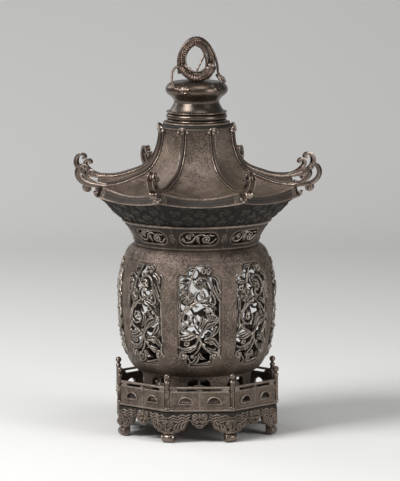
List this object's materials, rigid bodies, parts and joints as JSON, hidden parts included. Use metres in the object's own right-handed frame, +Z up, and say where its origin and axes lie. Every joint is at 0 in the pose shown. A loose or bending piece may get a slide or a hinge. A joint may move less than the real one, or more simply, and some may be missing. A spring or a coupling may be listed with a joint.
{
  "type": "pagoda incense burner",
  "caption": "Octagonal pagoda-shaped bronze incense burner: balustraded stand, pierced barrel vessel with a loose ash pan, and a lift-off concave roof with a dragon-loop handle.",
  "frame": {"origin": "on the ground under the middle of the stand", "axes": "+Z up the burner's axis; one of the eight faces looks along -Y"},
  "size_m": [0.2944, 0.2944, 0.4763],
  "materials": {
    "bronze": "dark brown patina, satin",
    "dark_bronze": "near-black patina, matt",
    "worn_bronze": "patina worn to warm brown on the edges",
    "pan_bronze": "fire-darkened, matt"
  },
  "bodies": {
    "stand": {"stand_deck": "bronze", "stand_apron": "bronze", "stand_foot_1": "worn_bronze", "stand_foot_2": "worn_bronze", "stand_foot_3": "worn_bronze", "stand_foot_4": "worn_bronze", "stand_foot_5": "worn_bronze", "stand_foot_6": "worn_bronze", "stand_foot_7": "worn_bronze", "stand_foot_8": "worn_bronze", "rail_post_1": "worn_bronze", "rail_post_2": "worn_bronze", "rail_post_3": "worn_bronze", "rail_post_4": "worn_bronze", "rail_post_5": "worn_bronze", "rail_post_6": "worn_bronze", "rail_post_7": "worn_bronze", "rail_post_8": "worn_bronze", "rail_panel_1": "bronze", "rail_panel_2": "bronze", "rail_panel_3": "bronze", "rail_panel_4": "bronze", "rail_panel_5": "bronze", "rail_panel_6": "bronze", "rail_panel_7": "bronze", "rail_panel_8": "bronze"},
    "vessel": {"vessel_foot": "bronze", "vessel_shell": "bronze", "vessel_neck": "bronze", "window_grille_1": "worn_bronze", "window_grille_2": "worn_bronze", "window_grille_3": "worn_bronze", "window_grille_4": "worn_bronze", "window_grille_5": "worn_bronze", "window_grille_6": "worn_bronze", "window_grille_7": "worn_bronze", "window_grille_8": "worn_bronze", "cartouche_scroll_1": "bronze", "cartouche_scroll_2": "bronze", "cartouche_scroll_3": "bronze", "cartouche_scroll_4": "bronze", "cartouche_scroll_5": "bronze", "cartouche_scroll_6": "bronze", "cartouche_scroll_7": "bronze", "cartouche_scroll_8": "bronze"},
    "pan": {"ash_pan": "pan_bronze"},
    "lid": {"roof_shell": "bronze", "roof_soffit": "dark_bronze", "roof_collar": "dark_bronze", "hip_ridge_1": "worn_bronze", "hip_ridge_2": "worn_bronze", "hip_ridge_3": "worn_bronze", "hip_ridge_4": "worn_bronze", "hip_ridge_5": "worn_bronze", "hip_ridge_6": "worn_bronze", "hip_ridge_7": "worn_bronze", "hip_ridge_8": "worn_bronze", "finial_base": "bronze", "finial_knob": "bronze", "dragon_loop": "worn_bronze"}
  },
  "joints": [
    {"name": "vessel_lift", "type": "slide", "parent": "stand", "child": "vessel", "axis": [0, 0, 1], "range_m": [0, 0.06]},
    {"name": "pan_lift", "type": "slide", "parent": "vessel", "child": "pan", "axis": [0, 0, 1], "range_m": [0, 0.18]},
    {"name": "lid_lift", "type": "slide", "parent": "vessel", "child": "lid", "axis": [0, 0, 1], "range_m": [0, 0.2]}
  ]
}
